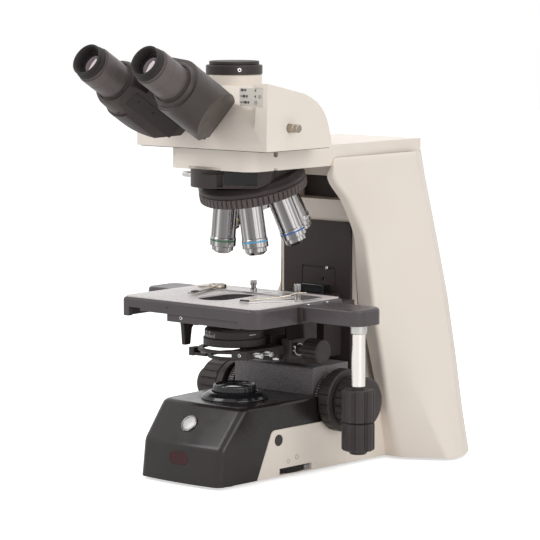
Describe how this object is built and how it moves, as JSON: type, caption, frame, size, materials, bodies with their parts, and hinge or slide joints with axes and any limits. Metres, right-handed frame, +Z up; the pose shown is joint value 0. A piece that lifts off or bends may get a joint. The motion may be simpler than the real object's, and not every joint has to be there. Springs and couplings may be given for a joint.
{
  "type": "trinocular microscope",
  "caption": "Upright trinocular laboratory microscope with tilting binocular tubes, camera port, turning nosepiece, cross-travel stage, swing-out condenser lens and coaxial focus knobs.",
  "frame": {"origin": "on the desk, under the middle of the whole instrument's bounding box", "axes": "+Z up, -Y towards the user, +X towards the stage knobs, at the user's right"},
  "size_m": [0.306, 0.4288, 0.4465],
  "materials": {
    "cream_paint": "fine satin enamel",
    "cream_cover": "smooth satin moulding",
    "black_paint": "satin black enamel",
    "black_gloss": "hard gloss black",
    "grey_texture": "textured dark grey",
    "casting": "raw cast",
    "chrome": "polished",
    "steel": "turned",
    "black_rubber": "matt",
    "black_plastic": "matt",
    "lens": "coated",
    "window_red": "dark red, translucent",
    "lamp": "finned"
  },
  "bodies": {
    "stand": {"base_casting": "casting", "base_housing": "black_gloss", "rubber_feet": "black_rubber", "sensor_window": "window_red", "column": "cream_paint", "column_panel": "black_paint", "arm": "cream_paint", "side_cover_right": "cream_cover", "side_cover_left": "cream_cover", "rear_cover": "cream_cover", "power_inlet": "black_plastic", "focus_housing": "grey_texture", "scale_ring": "black_paint", "field_lens_collar": "black_paint", "field_lens": "lens", "led_module": "lamp", "nosepiece_mount": "black_paint"},
    "head": {"head_housing": "cream_paint", "photo_port_ring": "black_paint"},
    "tube_right": {"eyepiece_tube_right": "black_paint", "eyepiece_right": "black_paint"},
    "tube_left": {"eyepiece_tube_left": "black_paint", "eyepiece_left": "black_paint"},
    "dioptre_right": {"eyecup_right": "black_rubber"},
    "dioptre_left": {"eyecup_left": "black_rubber"},
    "port_cap": {"photo_port_cap": "black_plastic"},
    "splitter": {"splitter_rod": "steel"},
    "slider": {"analyser_slider": "steel"},
    "nosepiece": {"turret": "black_paint", "objective_4x": "chrome", "objective_10x": "chrome", "objective_20x": "chrome", "objective_40x": "chrome", "objective_60x": "chrome", "objective_100x": "chrome"},
    "carrier": {"stage_carrier": "black_paint"},
    "stage": {"stage_body": "black_gloss", "stage_surface": "black_gloss", "xy_pillar": "steel"},
    "x_drive": {"x_knob": "black_rubber"},
    "y_drive": {"y_knob": "black_rubber"},
    "holder": {"slide_holder": "black_paint"},
    "clip": {"slide_clip": "black_paint"},
    "condenser": {"condenser_carrier": "black_paint", "centring_screws": "steel", "condenser_body": "black_paint", "condenser_lens": "lens"},
    "condenser_drive": {"condenser_knob": "black_plastic"},
    "iris": {"condenser_iris_ring": "black_paint"},
    "top_lens": {"swing_lens": "black_paint"},
    "filter": {"filter_holder": "black_paint"},
    "coarse": {"coarse_drive": "black_paint", "coarse_knob_right": "black_paint"},
    "fine": {"fine_drive": "black_paint", "fine_knob_right": "black_paint"},
    "tension": {"tension_ring": "black_plastic"},
    "diaphragm": {"field_diaphragm_ring": "black_paint"},
    "wheel": {"light_wheel": "black_rubber"},
    "button": {"eco_button": "black_plastic"},
    "rocker": {"power_switch": "black_plastic"}
  },
  "joints": [
    {"name": "head_turn", "type": "hinge", "parent": "stand", "child": "head", "pos_m": [-0.015, -0.02958, 0.34], "axis": [0, 0, 1], "range_deg": [-90, 90]},
    {"name": "tube_right_pivot", "type": "hinge", "parent": "head", "child": "tube_right", "pos_m": [-0.015, -0.19708, 0.44636], "axis": [0, 0.866, -0.5], "range_deg": [0, 33.9]},
    {"name": "tube_left_pivot", "type": "hinge", "parent": "head", "child": "tube_left", "pos_m": [-0.015, -0.19708, 0.44636], "axis": [0, -0.866, 0.5], "range_deg": [0, 33.9]},
    {"name": "dioptre_right_turn", "type": "hinge", "parent": "tube_right", "child": "dioptre_right", "pos_m": [0.024, -0.20508, 0.4325], "axis": [0, -0.866, 0.5], "range_deg": [-90, 90]},
    {"name": "dioptre_left_turn", "type": "hinge", "parent": "tube_left", "child": "dioptre_left", "pos_m": [-0.054, -0.20508, 0.4325], "axis": [0, -0.866, 0.5], "range_deg": [-90, 90]},
    {"name": "port_cap_lift", "type": "slide", "parent": "head", "child": "port_cap", "axis": [0, 0, 1], "range_m": [0, 0.03]},
    {"name": "splitter_pull", "type": "slide", "parent": "head", "child": "splitter", "axis": [1, 0, 0], "range_m": [0, 0.02]},
    {"name": "slider_pull", "type": "slide", "parent": "stand", "child": "slider", "axis": [-1, 0, 0], "range_m": [0, 0.026]},
    {"name": "nosepiece_turn", "type": "hinge", "parent": "stand", "child": "nosepiece", "pos_m": [-0.015, -0.02958, 0.404], "axis": [0, -0.2588, 0.9659], "continuous": true},
    {"name": "stage_focus", "type": "slide", "parent": "stand", "child": "carrier", "axis": [0, 0, 1], "range_m": [0, 0.038]},
    {"name": "stage_y", "type": "slide", "parent": "carrier", "child": "stage", "axis": [0, -1, 0], "range_m": [-0.026, 0.026]},
    {"name": "slide_x", "type": "slide", "parent": "stage", "child": "holder", "axis": [-1, 0, 0], "range_m": [-0.038, 0.038]},
    {"name": "x_knob_turn", "type": "hinge", "parent": "stage", "child": "x_drive", "pos_m": [0.135, -0.01257, 0.085], "axis": [0, 0, 1], "range_deg": [-456.1, 456.1]},
    {"name": "y_knob_turn", "type": "hinge", "parent": "stage", "child": "y_drive", "pos_m": [0.135, -0.01257, 0.055], "axis": [0, 0, 1], "range_deg": [-312.1, 312.1]},
    {"name": "clip_open", "type": "hinge", "parent": "holder", "child": "clip", "pos_m": [-0.065, 0.00042, 0.187], "axis": [0, 0, -1], "range_deg": [0, 30], "stiffness_Nm_per_rad": 0.02, "springref_deg": -11.46},
    {"name": "condenser_focus", "type": "slide", "parent": "carrier", "child": "condenser", "axis": [0, 0, -1], "range_m": [-0.002, 0.02]},
    {"name": "condenser_knob_turn", "type": "hinge", "parent": "carrier", "child": "condenser_drive", "pos_m": [0.045, 0.01043, 0.13], "axis": [1, 0, 0], "range_deg": [-14.4, 143.4]},
    {"name": "iris_turn", "type": "hinge", "parent": "condenser", "child": "iris", "pos_m": [-0.015, -0.02958, 0.139], "axis": [0, 0, 1], "range_deg": [-70, 70]},
    {"name": "top_lens_swing", "type": "hinge", "parent": "condenser", "child": "top_lens", "pos_m": [-0.045, -0.03757, 0.1553], "axis": [1, 0, 0], "range_deg": [0, 80]},
    {"name": "filter_swing", "type": "hinge", "parent": "condenser", "child": "filter", "pos_m": [0.019, -0.00358, 0.122], "axis": [0, 0, 1], "range_deg": [0, 60]},
    {"name": "coarse_turn", "type": "hinge", "parent": "stand", "child": "coarse", "pos_m": [-0.015, 0.05842, 0.073], "axis": [1, 0, 0], "range_deg": [-1, 856]},
    {"name": "fine_turn", "type": "hinge", "parent": "coarse", "child": "fine", "pos_m": [-0.015, 0.05842, 0.073], "axis": [1, 0, 0], "continuous": true},
    {"name": "tension_turn", "type": "hinge", "parent": "stand", "child": "tension", "pos_m": [0.045, 0.05842, 0.073], "axis": [1, 0, 0], "range_deg": [-60, 60]},
    {"name": "diaphragm_turn", "type": "hinge", "parent": "stand", "child": "diaphragm", "pos_m": [-0.015, -0.02958, 0.086], "axis": [0, 0, 1], "range_deg": [-60, 60]},
    {"name": "light_wheel_turn", "type": "hinge", "parent": "stand", "child": "wheel", "pos_m": [0.01994, -0.00458, 0.0077], "axis": [0, 0, 1], "range_deg": [-135, 135]},
    {"name": "button_press", "type": "slide", "parent": "stand", "child": "button", "axis": [-1, 0, 0], "range_m": [0, 0.0015], "stiffness_N_per_m": 800, "springref_m": -0.0005},
    {"name": "rocker_tip", "type": "hinge", "parent": "stand", "child": "rocker", "pos_m": [0.005, 0.20742, 0.032], "axis": [1, 0, 0], "range_deg": [-18, 0]}
  ],
  "couplings": [
    {"joint": "tube_left_pivot", "follows": "tube_right_pivot", "ratio": 1},
    {"joint": "coarse_turn", "follows": "stage_focus", "rad_per_m": 392.7},
    {"joint": "y_knob_turn", "follows": "stage_y", "rad_per_m": 209.44},
    {"joint": "x_knob_turn", "follows": "slide_x", "rad_per_m": 209.44},
    {"joint": "condenser_knob_turn", "follows": "condenser_focus", "rad_per_m": 125}
  ]
}
